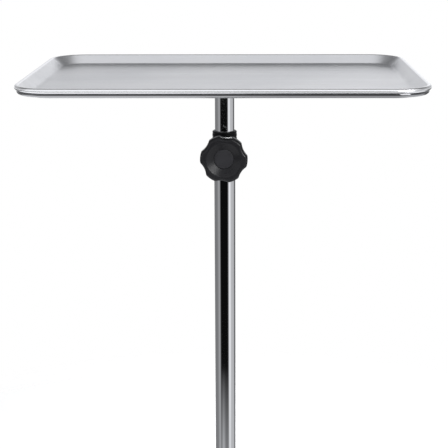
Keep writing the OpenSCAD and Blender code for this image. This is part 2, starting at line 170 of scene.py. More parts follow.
def rounded(points, radii, closed=True, steps=6):
    """Corners made into arcs. The arc touches both sides at radius / tan(half the angle)
    from the corner, and its centre is radius / sin(half) along the line that halves the
    angle. An open profile keeps its two end points."""
    p = np.array(points, float)
    r = np.broadcast_to(np.array(radii, float), len(p))[:, None]
    back, on = unit(np.roll(p, 1, axis=0) - p), unit(np.roll(p, -1, axis=0) - p)
    half = np.arccos(np.clip((back * on).sum(axis=1, keepdims=True), -1, 1)) / 2
    cut = r / np.tan(half)
    centre = p + unit(back + on) * r / np.sin(half)
    turn = np.pi - 2 * half
    t = np.linspace(0, 1, steps + 1)[None, :, None]
    first, last = (p + back * cut - centre)[:, None], (p + on * cut - centre)[:, None]
    share = turn[:, None]
    bend = (np.sin((1 - t) * share) * first + np.sin(t * share) * last) / np.sin(share)
    bend = centre[:, None] + bend
    before = (p + back * (cut + HOLD * r))[:, None]
    after = (p + on * (cut + HOLD * r))[:, None]
    corner = np.concatenate([before, bend, after], axis=1)
    if closed:
        return corner.reshape(-1, 2)
    return np.concatenate([p[:1], corner[1:-1].reshape(-1, 2), p[-1:]])


# %% [markdown]
# Three ways of carrying a profile make nearly the whole cart. A lathe turns it round an
# axis: tubes, collars, wheels. A frame carries it round a rounded rectangle: the tray and
# the rod under it. A bar carries a rounded rectangle along a path: straps, legs, levers.

# %% Turned, framed and bar shapes
def across(axis):
    """Two directions at right angles to an axis and to each other."""
    axis = unit(np.array(axis, float))
    other = np.array((0, 0, 1.0)) if abs(axis[2]) < 0.9 else np.array((1.0, 0, 0))
    u = unit(np.cross(other, axis))
    return u, np.cross(axis, u), axis


def turned(profile, base, axis=(0, 0, 1), turns=96):
    """base + height * axis + radius * (cos a * u + sin a * v) for each (radius, height)."""
    u, v, axis = across(axis)
    a = np.linspace(0, 2 * np.pi, turns, endpoint=False)[:, None]
    ring = np.cos(a) * u + np.sin(a) * v
    profile = np.array(profile)
    return base + profile[:, 1, None, None] * axis + profile[:, 0, None, None] * ring


def frame_path(width, depth, radius, per_corner=20):
    """Points round a rounded rectangle and the outward direction at each: four quarter
    circles, with three more points along every straight side."""
    a = np.radians(np.linspace(0, 90, per_corner + 1) + np.array([[0], [90], [180], [270]]))
    out = np.stack([np.cos(a), np.sin(a)], axis=-1)
    sign = np.array([[1, 1], [-1, 1], [-1, -1], [1, -1]])[:, None]
    centre = sign * (np.array([width, depth]) / 2 - radius)
    bend = centre + radius * out
    side = np.array([0.02, 0.5, 0.98])[None, :, None]
    straight = bend[:, -1:] * (1 - side) + np.roll(bend, -1, axis=0)[:, :1] * side
    facing = np.repeat(out[:, -1:], 3, axis=1)
    points = np.concatenate([bend, straight], axis=1).reshape(-1, 2)
    return points, np.concatenate([out, facing], axis=1).reshape(-1, 2)


def framed(section, width, depth, radius, height):
    """A section of (inset, rise) carried round a rounded rectangle: each point of the path
    moves inwards by the inset and up by the rise."""
    path, out = frame_path(width, depth, radius)
    section = np.array(section)
    flat = path[None] - section[:, 0, None, None] * out[None]
    rise = np.broadcast_to(section[:, 1, None, None] + height, (*flat.shape[:2], 1))
    return np.concatenate([flat, rise], axis=-1)


def bar(path, side, width, thick, edge, steps=4):
    """A rounded rectangle carried along a path: at each point the width lies along side
    and the thickness along (direction of the path) x side. Its ends shrink to a point."""
    path = np.array(path, float)
    side = unit(np.array(side, float))
    up = unit(np.cross(unit(np.gradient(path, axis=0)), side))
    w = np.broadcast_to(width, len(path))[:, None] / 2
    t = np.broadcast_to(thick, len(path))[:, None] / 2
    e = np.minimum(edge, 0.98 * np.minimum(w, t))
    a = np.radians(np.linspace(0, 90, steps + 1) + np.array([[0], [90], [180], [270]])).ravel()
    sx = np.repeat([1, -1, -1, 1], steps + 1)
    sy = np.repeat([1, 1, -1, -1], steps + 1)
    x = (w - e) * sx + e * np.cos(a)
    y = (t - e) * sy + e * np.sin(a)
    body = path[:, None] + x[..., None] * side + y[..., None] * up[:, None]
    ends = np.repeat(path[[0, -1], None], body.shape[1], axis=1)
    return np.concatenate([ends[:1], body, ends[1:]])


def eased(path, width, thick, edge, steps=4):
    """The same path with a quarter-round at each end: over the last stretch the section
    shrinks by edge * (1 - cos a) on every side while it moves out by edge * sin a."""
    path = np.array(path, float)
    width = np.broadcast_to(width, len(path)).astype(float)
    thick = np.broadcast_to(thick, len(path)).astype(float)
    a = np.radians(np.linspace(90, 0, steps + 1))[:-1]
    shrink, out = 2 * edge * (1 - np.cos(a)), edge * np.sin(a)
    start, end = unit(path[0] - path[1]), unit(path[-1] - path[-2])
    path = np.concatenate([
        path[0] + out[:, None] * start, path, path[-1] + out[::-1, None] * end
    ])
    width = np.concatenate([width[0] - shrink, width, width[-1] - shrink[::-1]])
    thick = np.concatenate([thick[0] - shrink, thick, thick[-1] - shrink[::-1]])
    return path, width, thick


# %% [markdown]
# ## Finishes
# A finish is a small network of nodes. Patterns are worked out from the object's own
# coordinates, so they stay on the metal when a part moves. A Mapping node stretches a
# noise into brush lines; a Map Range node turns it into a change of roughness or of
# colour; a Bump node turns it into fine relief. Whatever is the same all over the surface
# is typed straight into the shader.

# %% Helpers for finishes
def finish(name, **settings):
    """A new material. Underscores in a setting's name stand for spaces."""
    material = bpy.data.materials.new(name)
    material.use_nodes = True
    shader = material.node_tree.nodes["Principled BSDF"]
    for key, value in settings.items():
        shader.inputs[key.replace("_", " ")].default_value = value
    return material


def link(material, value, socket):
    """Drives a socket with a pattern. A name stands for a socket of the shader."""
    if isinstance(socket, str):
        socket = material.node_tree.nodes["Principled BSDF"].inputs[socket]
    material.node_tree.links.new(value, socket)


def noise(material, scale, stretch=(1, 1, 1), detail=3.0):
    """Noise on the object's coordinates. A stretch of less than 1 draws it out."""
    nodes = material.node_tree.nodes
    mapping = nodes.new("ShaderNodeMapping")
    mapping.inputs["Scale"].default_value = stretch
    pattern = nodes.new("ShaderNodeTexNoise")
    pattern.inputs["Scale"].default_value = scale
    pattern.inputs["Detail"].default_value = detail
    place = nodes.new("ShaderNodeTexCoord").outputs["Object"]
    link(material, place, mapping.inputs["Vector"])
    link(material, mapping.outputs["Vector"], pattern.inputs["Vector"])
    return pattern.outputs["Fac"]


def spread(material, value, low, high, start=0.3, stop=0.7):
    """Maps a pattern from start..stop onto low..high."""
    node = material.node_tree.nodes.new("ShaderNodeMapRange")
    names = ("From Min", "From Max", "To Min", "To Max")
    for key, number in zip(names, (start, stop, low, high)):
        node.inputs[key].default_value = number
    link(material, value, node.inputs["Value"])
    return node.outputs["Result"]


def tint(material, value, dark, light):
    """Colours the surface between two colours by a pattern."""
    ramp = material.node_tree.nodes.new("ShaderNodeValToRGB")
    for element, place, colour in zip(ramp.color_ramp.elements, (0.3, 0.7), (dark, light)):
        element.position, element.color = place, (*colour, 1)
    link(material, value, ramp.inputs["Fac"])
    link(material, ramp.outputs["Color"], "Base Color")


def relief(material, value, distance, strength, under=None):
    """Adds a pattern as relief of a given depth in metres, over an earlier one if given."""
    node = material.node_tree.nodes.new("ShaderNodeBump")
    node.inputs["Distance"].default_value = distance
    node.inputs["Strength"].default_value = strength
    link(material, value, node.inputs["Height"])
    if under:
        link(material, under, node.inputs["Normal"])
    link(material, node.outputs["Normal"], "Normal")
    return node.outputs["Normal"]


def retone(material, name, tone):
    """Blends the colour towards another tone where an attribute is 1, and gives back the
    attribute. A piece that lacks it is left as it is."""
    nodes = material.node_tree.nodes
    where = nodes.new("ShaderNodeAttribute")
    where.attribute_name = name
    mix = nodes.new("ShaderNodeMix")
    mix.data_type = "RGBA"
    mix.inputs[7].default_value = (*tone, 1)
    colour = nodes["Principled BSDF"].inputs["Base Color"].links[0].from_socket
    link(material, where.outputs["Fac"], mix.inputs["Factor"])
    link(material, colour, mix.inputs[6])
    link(material, mix.outputs[2], "Base Color")
    return where.outputs["Fac"]

# %% [markdown]
# **Tray steel.** The tray is pressed from stainless sheet. Its floor has a fine grain from
# brushing, drawn out from side to side, and its rolled bead is rubbed brighter than the
# rest. One mesh carries both, so an attribute named polish says where the bead is.

# %% Brushed steel for the tray
def brushed_steel():
    """Grain lines 0.3 mm wide and some centimetres long, with softer streaks over them."""
    material = finish("brushed_tray_steel", Metallic=1.0)
    lines = noise(material, 1.0, (14, 2600, 2600), 2.0)
    streaks = noise(material, 1.0, (3, 130, 130))
    clouds = noise(material, 7.0, detail=4.0)
    tint(material, clouds, (0.70, 0.71, 0.725), (0.79, 0.795, 0.80))
    polish = retone(material, "polish", (0.95, 0.955, 0.96))
    grain = material.node_tree.nodes.new("ShaderNodeMath")
    grain.operation = "MULTIPLY"
    link(material, spread(material, lines, 0.8, 1.15), grain.inputs[0])
    link(material, spread(material, streaks, 0.31, 0.37), grain.inputs[1])
    rough = material.node_tree.nodes.new("ShaderNodeMix")
    link(material, polish, rough.inputs["Factor"])
    link(material, grain.outputs["Value"], rough.inputs["A"])
    link(material, spread(material, streaks, 0.19, 0.24), rough.inputs["B"])
    link(material, rough.outputs["Result"], "Roughness")
    soft = relief(material, streaks, 0.02 * MM, 0.4)
    relief(material, lines, 0.004 * MM, 0.5, soft)
    return material

# %% [markdown]
# **Chrome.** The column, the mast, the rod and the legs are plated tube. Plating is nearly
# a mirror, so what it shows is the room. What makes it look like metal and not like glass
# is very slight: a long waviness from drawing the tube, and a breath of haze here and there.
# The rod under the tray is painted darker as shade from the tray, and its upper half, in
# the gap under the bead, darker still as painted shade. An attribute says where that is.

# %% Chrome plate
def chrome_plate(name, haze, shade=1.0):
    """A near mirror; haze is the most that its roughness rises to. A shade below 1 darkens its
    colour as painted shade.
    """
    material = finish(name, Metallic=1.0)
    clouds = noise(material, 16.0, (1, 1, 0.3), 5.0)
    dull, bright = shade * np.array([(0.83, 0.84, 0.85), (0.88, 0.885, 0.89)])
    tint(material, clouds, dull, bright)
    link(material, spread(material, clouds, 0.02, haze), "Roughness")
    relief(material, noise(material, 22.0, (1, 1, 0.15), 1.0), 0.02 * MM, 0.5)
    return material


CHROME = chrome_plate("chrome", 0.06)
SOFT_CHROME = chrome_plate("pressed_chrome", 0.14)
# Painted shade: the rod's colour is darkened to 0.55 for the tray's shadow, and darker still
# where the gap attribute is 1.
ROD_STEEL = chrome_plate("rod_steel", 0.12, 0.55)
retone(ROD_STEEL, "painted_gap_shade", (0.11, 0.11, 0.115))

# %% [markdown]
# ** Black plastic.** The knob and the collar are moulded and have a fine spark-eroded skin:
# tiny rounded dimples that spread the highlight. On the collar and on the sides of the knob
# an attribute paints the plastic a deeper black with less gloss: painted shade for sides that
# face away from the light.
# **Caster plastic** is coarser and a little greyer. **Tread rubber** is dull and dusty.

# %% Plastics and rubber
GLOSS, PAINTED_SHADE_GLOSS = 0.22, 0.05


def moulded_plastic(name, dark, light, rough, grain):
    """Moulded plastic: dimples grain metres across, and a slow change of gloss."""
    material = finish(name, Specular_IOR_Level=GLOSS)
    clouds = noise(material, 60.0, detail=4.0)
    tint(material, clouds, (dark, dark, dark * 1.12), (light, light, light * 1.12))
    link(material, spread(material, clouds, rough - 0.05, rough + 0.06), "Roughness")
    relief(material, noise(material, 1 / grain, detail=2.0), 0.03 * MM, 0.35)
    return material


def tread_rubber():
    """Grey rubber, paler where dust has worked in."""
    material = finish("tread_rubber", Specular_IOR_Level=0.3)
    dust = noise(material, 90.0, detail=6.0)
    tint(material, dust, (0.15, 0.155, 0.16), (0.21, 0.215, 0.22))
    link(material, spread(material, dust, 0.55, 0.75), "Roughness")
    relief(material, noise(material, 900.0), 0.06 * MM, 0.4)
    return material


BLACK = moulded_plastic("knob_plastic", 0.009, 0.012, 0.31, 0.5 * MM)
# Painted shade: where the attribute is 1, the black is darkened further and its gloss lowered.
painted_shade_fac = retone(BLACK, "painted_shade", (0.00225, 0.00225, 0.00252))
link(BLACK, spread(BLACK, painted_shade_fac, GLOSS, PAINTED_SHADE_GLOSS, 0.0, 1.0), "Specular IOR Level")
CAP_PLASTIC = moulded_plastic("cap_plastic", 0.018, 0.024, 0.38, 0.5 * MM)
CASTER_PLASTIC = moulded_plastic("caster_plastic", 0.022, 0.034, 0.46, 0.8 * MM)
RUBBER = tread_rubber()

# %% [markdown]
# **Zinc** on the fasteners is a thin bluish plate over rolled steel, so it is duller than
# chrome and blotchy. **Brass** at the clamp nut and the shoe shows fine turning marks.

# %% Zinc and brass
def plated_fastener(name, dark, light, rough, stretch=(1, 1, 1)):
    """A dull plated or turned metal, its marks drawn out by stretch."""
    material = finish(name, Metallic=1.0)
    marks = noise(material, 300.0, stretch, 5.0)
    tint(material, marks, dark, light)
    link(material, spread(material, marks, rough - 0.06, rough + 0.08), "Roughness")
    relief(material, marks, 0.02 * MM, 0.4)
    return material


STEEL = brushed_steel()
ZINC = plated_fastener("zinc_plate", (0.45, 0.46, 0.48), (0.62, 0.64, 0.67), 0.34)
BRASS = plated_fastener("turned_brass", (0.58, 0.40, 0.16), (0.74, 0.55, 0.26), 0.28, (1, 1, 4))
print("finishes:", len(bpy.data.materials))


def dress(piece, material, body, slot, *stands_for):
    """Gives a piece its finish, its body and the nodes that it stands for. The slot is not used.
    """
    piece.data.materials.append(material)
    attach(piece, body)
    if stands_for:
        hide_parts(*stands_for)
    print(f"{piece.name}: {len(piece.data.polygons)} faces on {body}")

# %% [markdown]
# ## The tray
# A tray is pressed from one sheet: a flat floor, a fillet, a wall that leans out at 45
# degrees, and an edge rolled over into a bead that stiffens it and is kind to the hands.
# The section is one line that goes out along the top of the sheet, round the bead, and
# back along the underside, carried round a rounded rectangle. The floor's rows shrink to
# the middle, which closes the sheet above and below.

# %% Tray
tray_low, tray_high = corners("tray")
tray_w, tray_d, _ = tray_high - tray_low
rim_z = tray_high[2]
TRAY_CORNER = 48 * MM
SHEET = 0.9 * MM
BEAD = 3 * MM
FILLET = 6 * MM
WALL_LEAN = 45
CURL_END = 245
floor_top = tray_low[2] + SHEET - rim_z

lean = np.radians(WALL_LEAN)
bead_centre = np.array([BEAD, -BEAD])
bead_foot = bead_centre + BEAD * np.array([np.sin(lean), np.cos(lean)])
fillet_head_z = floor_top + FILLET * (1 - np.cos(lean))
fillet_head = bead_foot[0] + (bead_foot[1] - fillet_head_z) / np.tan(lean)
fillet_centre = np.array([fillet_head + FILLET * np.sin(lean), floor_top + FILLET])
hold = np.array([0.5 * MM, 0])


def wall(offset):
    """The sheet's line at a distance below its top: a stretch of floor, the fillet, the
    wall and the bead, whose curl goes over the top, down the outside and under."""
    bend = arc(fillet_centre, FILLET + offset, 270, 180 + WALL_LEAN, 10)
    curl = arc(bead_centre, BEAD - offset, WALL_LEAN, CURL_END, 26)
    ease = 0.04 * (curl[:1] - bend[-1:])
    return np.concatenate([bend[:1] + hold, bend, bend[-1:] + ease, curl[:1] - ease, curl])


section = np.concatenate([wall(0), wall(SHEET)[::-1]])
sheet = framed(section, tray_w, tray_d, TRAY_CORNER, rim_z)
share = np.array([0, 0.35, 0.7, 0.97])[:, None, None]
flat_top, flat_under = sheet[:1] * share, sheet[-1:] * share[::-1]
flat_top[..., 2], flat_under[..., 2] = sheet[0, 0, 2], sheet[-1, 0, 2]
tray = make_piece("pressed_tray", (np.concatenate([flat_top, sheet, flat_under]), False))


def tray_inset(x, y):
    """How far in from the tray's outline a point lies: beside a corner's centre it is the
    corner's radius less the distance from that centre, elsewhere the way to the side."""
    qx, qy = np.abs(x) - (tray_w / 2 - TRAY_CORNER), np.abs(y) - (tray_d / 2 - TRAY_CORNER)
    beyond = np.hypot(np.maximum(qx, 0), np.maximum(qy, 0))
    return TRAY_CORNER - beyond - np.minimum(np.maximum(qx, qy), 0)


mark(tray, "polish", lambda x, y, z: (bead_foot[0] + 0.3 * MM - tray_inset(x, y)) / (0.5 * MM))
dress(tray, STEEL, "tray", "tray_steel", "tray")

# %% [markdown]
# ## The rod, the straps and the plate
# The tray drops into a ring of bright round rod. Two flat straps cross under the tray and
# turn up to meet the rod; a plate joins them to the mast. The straps are bars carried
# along a bent path, with the small radius that a press leaves at each bend.

# %% Ring of rod
ring_low, ring_high = corners("tray_ring")
ring_w, ring_d, rod_d = ring_high - ring_low
rod_r, rod_z = rod_d / 2, (ring_low[2] + ring_high[2]) / 2
ring_corner = TRAY_CORNER - (tray_w - ring_w) / 2
rod_turn = arc((rod_r, 0), rod_r, 0, 360, 24)[:-1]
ring = make_piece("ring_rod", (framed(rod_turn, ring_w, ring_d, ring_corner, rod_z), True))
# Painted shade: marks the rod's upper half, in the gap under the bead, for darkening.
mark(ring, "painted_gap_shade", lambda x, y, z: (z - rod_z + 0.25 * rod_r) / (0.3 * rod_r))
dress(ring, ROD_STEEL, "mast", "chrome_plate", "tray_ring")

# %% Straps
STRAP_EDGE = 0.7 * MM
BEND = 5 * MM
STRAP_T = 3 * MM
STRAP_FLAT = 16.5 * MM


def strap(node):
    """A flat bar that rises at 45 degrees near each end and then runs level again."""
    low, high = corners(node)
    y = (low[1] + high[1]) / 2
    z0, z1 = low[2] + STRAP_T / 2, high[2] - STRAP_T / 2
    rise = z1 - z0
    flat = tray_w / 2 - STRAP_FLAT
    end = high[0] - STRAP_EDGE
    line = [(-end, z1), (-flat - rise, z1), (-flat, z0), (flat, z0), (flat + rise, z1), (end, z1)]
    xz = rounded(line, BEND, closed=False)
    path = np.stack([xz[:, 0], np.full(len(xz), y), xz[:, 1]], axis=1)
    path, width, thick = eased(path, high[1] - low[1], STRAP_T, STRAP_EDGE)
    return bar(path, (0, 1, 0), width, thick, STRAP_EDGE)


for name in ("front_strap", "rear_strap"):
    piece = make_piece(name + "_bar", (strap(name), False))
    dress(piece, SOFT_CHROME, "mast", "chrome_plate", name)

# %% Plate under the straps
PLATE_CORNER = 10 * MM
PLATE_EDGE = 0.8 * MM


def rim_arcs(edge, half):
    """The rounded rim of a plate as (inset, level), from its lower face to its upper."""
    return np.concatenate([
        arc((edge, edge - half), edge, 270, 180, 4), arc((edge, half - edge), edge, 180, 90, 4)
    ])


plate_low, plate_high = corners("mount_plate")
plate_w, plate_d, plate_t = plate_high - plate_low
edge_rows = rim_arcs(PLATE_EDGE, plate_t / 2)
edge_rows = np.concatenate([edge_rows[:1] + hold, edge_rows, edge_rows[-1:] + hold])
rim = framed(edge_rows, plate_w, plate_d, PLATE_CORNER, plate_low[2] + plate_t / 2)
caps = rim[[0, -1]] * (0, 0, 1)
plate = make_piece("mount_plate_pressing", (np.concatenate([caps[:1], rim, caps[1:]]), False))
dress(plate, SOFT_CHROME, "mast", "chrome_plate", "mount_plate")

# %% [markdown]
# ## The telescopic column
# Both tubes, the socket that holds the plate, the stop collar and the clamp's boss are all
# turned parts. The collar is moulded: its top edge is rounded, and two shallow grooves
# run round it under the edge, which is where it picks up its thin bright lines.

# %% Tubes and socket
def radius_of(node):
    """Half the width of a round node."""
    low, high = corners(node)
    return (high[0] - low[0]) / 2


def tube_piece(name, node, inner, edge, body="mast"):
    """A tube round the column's line, as high and as wide as its node, its edges rounded."""
    low, high = corners(node)
    outer, z0, z1 = radius_of(node), low[2], high[2]
    line = rounded([(inner, z0), (outer, z0), (outer, z1), (inner, z1)], edge, steps=4)
    piece = make_piece(name, (turned(line, np.zeros(3), turns=128), True))
    dress(piece, CHROME, body, "chrome_plate", node)


TUBE_WALL = 1.2 * MM
TUBE_EDGE = 0.25 * MM
mast_r, column_r = radius_of("mast"), radius_of("column")
tube_piece("mast_tube", "mast", mast_r - TUBE_WALL, TUBE_EDGE)
tube_piece("column_tube", "column", column_r - TUBE_WALL, TUBE_EDGE, body="root")
tube_piece("mast_socket_ring", "mast_socket", mast_r + 0.02 * MM, 0.8 * MM)

# %% Collar
collar_low, collar_high = corners("collar")
collar_r = radius_of("collar")
collar_top, collar_foot = collar_high[2], collar_low[2]
knob_z = middle("knob")[2]
LIP = 3 * MM
GROOVE, GROOVE_H = 0.7 * MM, 1.3 * MM
GROOVES_BELOW_TOP = (7.4 * MM, 2.6 * MM)
BOSS_R = 11 * MM
FIT = 0.02 * MM

grooves = []
for below in GROOVES_BELOW_TOP:
    z = collar_top - below
    grooves += [(collar_r, z - GROOVE_H), (collar_r - GROOVE, z - GROOVE_H)]
    grooves += [(collar_r - GROOVE, z), (collar_r, z)]
inner, mouth = column_r + FIT, mast_r + 0.1 * MM
collar_corners = [(inner, collar_foot), (collar_r, collar_foot), *grooves,
                  (collar_r, collar_top), (mouth, collar_top),
                  (mouth, collar_top - LIP), (inner, collar_top - LIP)]
collar_radii = [0.3, 1.0, *[0.45, 0.2, 0.2, 0.25] * 2, 1.9, 0.5, 0.2, 0.2]
collar_line = rounded(collar_corners, np.array(collar_radii) * MM, steps=5)

boss_reach = -collar_low[1] - column_r
boss_line = rounded(
    [(0, 0), (BOSS_R + 2.5 * MM, 0), (BOSS_R, 3 * MM), (BOSS_R, boss_reach), (0, boss_reach)],
    np.array([0, 1.0, 2.5, 0.8, 0]) * MM + 1e-9, closed=False,
)
boss = turned(boss_line, np.array([0, -column_r, knob_z]), (0, -1, 0), 72)
sleeve = turned(collar_line, np.zeros(3), turns=128)
collar = make_piece("clamp_collar", (sleeve, True), (boss, False))
# Painted shade over the whole collar, at 0.8.
mark(collar, "painted_shade", lambda x, y, z: 0.8 + 0 * z)
dress(collar, BLACK, "root", "clamp_plastic", "collar")

# %% [markdown]
# ## The clamp knob
# The knob is a moulded grip with six lobes. Its outline is a circle that six larger
# circles bite into. Where two of those curves meet the tool leaves a small radius, so the
# outline is their soft minimum. Going from the back to the front, the outline swells out
# of the hub, runs up the side, rounds over, and gives way to a round dish with a flat cap
# in the middle.

# %% Knob
KNOB_LOBES = 6
LOBE_TURN = 25
BITE_R = 24 * MM
BITE_DEPTH = 2.9 * MM
BLEND = 0.35 * MM
LOBE_OFF_SIDE = 5
knob_low, knob_high = corners("knob")
knob_r = radius_of("knob") / np.cos(np.radians(LOBE_OFF_SIDE))
knob_face, knob_back = knob_low[1], knob_high[1]
around = np.linspace(0, 2 * np.pi, 360, endpoint=False)


def off_nearest(a, first, count=1):
    """The angle from each direction to the nearest of some that divide the full turn
    evenly, beginning with the first."""
    step = 2 * np.pi / count
    return (a - first + step / 2) % step - step / 2


def bite(a):
    """How far out the nearest biting circle lies along each direction: for a circle whose
    centre is D away, at an angle off it, D cos(off) - sqrt(R^2 - (D sin(off))^2)."""
    off = off_nearest(a, np.radians(LOBE_TURN), KNOB_LOBES)
    d = knob_r - BITE_DEPTH + BITE_R
    inside = np.maximum(BITE_R ** 2 - (d * np.sin(off)) ** 2, 1e-9)
    return np.where(np.abs(d * np.sin(off)) < BITE_R, d * np.cos(off) - np.sqrt(inside), 1.0)


def knob_outline(a):
    """The soft minimum of the round blank and the bites: -b log(exp(-x/b) + exp(-y/b))."""
    nearest = np.minimum(knob_r, bite(a))
    blend = np.exp((nearest - knob_r) / BLEND) + np.exp((nearest - bite(a)) / BLEND)
    return nearest - BLEND * np.log(blend)


outline = knob_outline(around)
print("knob outline from", round(outline.min() / MM, 1), "to", round(outline.max() / MM, 1), "mm")

# %% Knob body
HUB_R = 13 * MM
FLANGE_Y = -43 * MM
DISH_R = 22.4 * MM
CAP_R = 12.9 * MM
DISH_DEPTH = 6 * MM
CAP_STEP = 2 * MM
FRONT_ROUND = 4.2 * MM
BACK_ROUND = 3.4 * MM
DISH_ROUND = 2.2 * MM


def knob_rows():
    """The rows from back to front as (share of the outline, inset, y). Where the share is
    1 the row follows the lobed outline less the inset, where it is 0 it is a circle."""
    back = arc((BACK_ROUND, FLANGE_Y - BACK_ROUND), BACK_ROUND, 90, 180, 7)
    front = arc((FRONT_ROUND, knob_face + FRONT_ROUND), FRONT_ROUND, 180, 270, 10)
    edge = np.concatenate([back[:1] + hold * 2, back, front, front[-1:] + hold])
    lobed = np.column_stack([np.ones(len(edge)), edge])
    fillet = arc((HUB_R + 2 * MM, FLANGE_Y + 2 * MM), 2 * MM, 180, 270, 5)
    hub = np.concatenate([[(0, knob_back), (HUB_R - 1 * MM, knob_back)],
                          arc((HUB_R - 1 * MM, knob_back - 1 * MM), 1 * MM, 90, 0, 4), fillet])
    dish_y = knob_face + DISH_DEPTH
    dish_line = [(DISH_R + 3 * MM, knob_face), (DISH_R, knob_face), (CAP_R, dish_y),
                 (CAP_R, dish_y + CAP_STEP), (0, dish_y + CAP_STEP)]
    dish = rounded(dish_line, [1e-9, DISH_ROUND, 0.5 * MM, 0.2 * MM, 1e-9], closed=False)[1:]
    hub, dish = (np.column_stack([np.zeros(len(part)), part]) for part in (hub, dish))
    return np.concatenate([hub, lobed, dish])


rows = knob_rows()
radius = np.where(rows[:, :1] > 0.5, outline[None] - rows[:, 1:2], rows[:, 1:2])
knob_grid = np.stack([
    radius * np.cos(around), np.repeat(rows[:, 2:3], len(around), axis=1),
    radius * np.sin(around) + knob_z,
], axis=-1)
knob = make_piece("clamp_knob", (knob_grid, False))
# Painted shade on the knob's sides, from just behind the face backwards, outside the dish.
mark(knob, "painted_shade", lambda x, y, z: (y - knob_face - 0.6 * MM) / (2.2 * MM)
     * (np.hypot(x, z - knob_z) > DISH_R + 1 * MM))
dress(knob, BLACK, "knob", "clamp_plastic", "knob")

# %% Knob cap
cap_low, cap_high = corners("knob_cap")
cap_r, cap_t = radius_of("knob_cap"), cap_high[1] - cap_low[1]
CAP_CROWN = 0.35 * MM
cap_line = np.concatenate([
    [(0, 0), (cap_r - 0.3 * MM, 0)],
    arc((cap_r - 0.6 * MM, cap_t - CAP_CROWN - 0.6 * MM), 0.6 * MM, 0, 80, 5),
    np.column_stack([cap_r * np.array([0.8, 0.5, 0.2, 0]),
                     cap_t - CAP_CROWN * np.array([0.64, 0.25, 0.04, 0])]),
])
cap = turned(cap_line, np.array([0, cap_high[1], knob_z]), (0, -1, 0), 96)
piece = make_piece("knob_centre_cap", (cap, False))
dress(piece, CAP_PLASTIC, "knob", "clamp_plastic", "knob_cap")

# %% [markdown]
# ## The base
# Five pressed legs meet between a thick round plate and a domed cover. Each leg is a box
# tube that narrows and drops towards its caster, and its tip is round in plan. It is a
# bar whose width and height change along the way. Under the cover's skirt the legs pass
# through notches, so the lower edge of the cover steps up wherever a leg comes out.

# %% Legs
LEG_COUNT = 5
CIRCLE = float(np.linalg.norm(middle("caster_1_stem")[:2]))
LEG_ROOT, LEG_LEVEL = 28 * MM, 60 * MM
LEG_KNEE = CIRCLE - 25 * MM
LEG_HALF = np.array([19, 14.5]) * MM
LEG_EDGE = 3 * MM
LEG_TIP_TOP = 81 * MM
leg_low, leg_high = corners("leg_1")
hub_low, hub_high = corners("hub_plate")


def leg_angle(n):
    """The direction of a leg from the column, with the first one to the front."""
    return np.radians(-90 + 360 / LEG_COUNT * (n - 1))


def leg_bar(n):
    """A bar out along the leg's direction. Its top and bottom follow broken lines that are
    softened over a few stations, and its width ends as LEG_HALF * cos a round the tip."""
    tip = LEG_HALF[1] * np.sin(np.radians(np.linspace(0, 90, 15)))[1:]
    along = np.concatenate([np.linspace(LEG_ROOT, CIRCLE, 70), CIRCLE + tip])
    half = np.interp(along, [LEG_ROOT, CIRCLE], LEG_HALF)
    past = np.clip((along - CIRCLE) / LEG_HALF[1], 0, 1)
    half = half * np.sqrt(1 - past ** 2) + 0.01 * MM
    floor = np.interp(along, [LEG_LEVEL, LEG_KNEE], [hub_high[2], leg_low[2]])
    roof = np.interp(along, [LEG_LEVEL, CIRCLE], [leg_high[2], LEG_TIP_TOP])
    soft = np.ones(7) / 7
    floor, roof = (np.convolve(np.pad(line, 3, "edge"), soft, "valid") for line in (floor, roof))
    a = leg_angle(n)
    out, side = np.array([np.cos(a), np.sin(a), 0]), np.array([np.sin(a), -np.cos(a), 0])
    level = np.pad((floor + roof) / 2, 1, "edge")[:, None, None] * np.array([0, 0, 1])
    return bar(along[:, None] * out, side, 2 * half, roof - floor, LEG_EDGE) + level


for n in range(1, LEG_COUNT + 1):
    piece = make_piece(f"leg_{n}_pressing", (leg_bar(n), False))
    dress(piece, SOFT_CHROME, "root", "chrome_plate", f"leg_{n}")

# %% Plate and boss of the hub
hub_r = hub_high[0]
hub_line = rounded([(0, hub_low[2]), (hub_r, hub_low[2]), (hub_r, hub_high[2]), (0, hub_high[2])],
                   [1e-9, 1.2 * MM, 1.2 * MM, 1e-9], closed=False)
piece = make_piece("hub_plate_disc", (turned(hub_line, np.zeros(3), turns=144), False))
dress(piece, SOFT_CHROME, "root", "chrome_plate", "hub_plate")

boss_low, boss_high = corners("hub_boss")
boss_r = boss_high[0]
bore = column_r + FIT
boss_line = rounded([(bore, boss_low[2]), (boss_r, boss_low[2]), (boss_r, boss_high[2]),
                     (bore, boss_high[2])], np.array([0.3, 0.5, 3, 0.6]) * MM)
piece = make_piece("hub_boss_ring", (turned(boss_line, np.zeros(3), turns=128), True))
dress(piece, CHROME, "root", "chrome_plate", "hub_boss")

# %% Cover of the hub
COVER_T = 1.2 * MM
COVER_EDGE = 4 * MM
NOTCH_HALF = LEG_HALF[0] + 0.3 * MM
cover_low, cover_high = corners("hub_cover")
cover_r = cover_high[0]
cover_eave = leg_high[2]


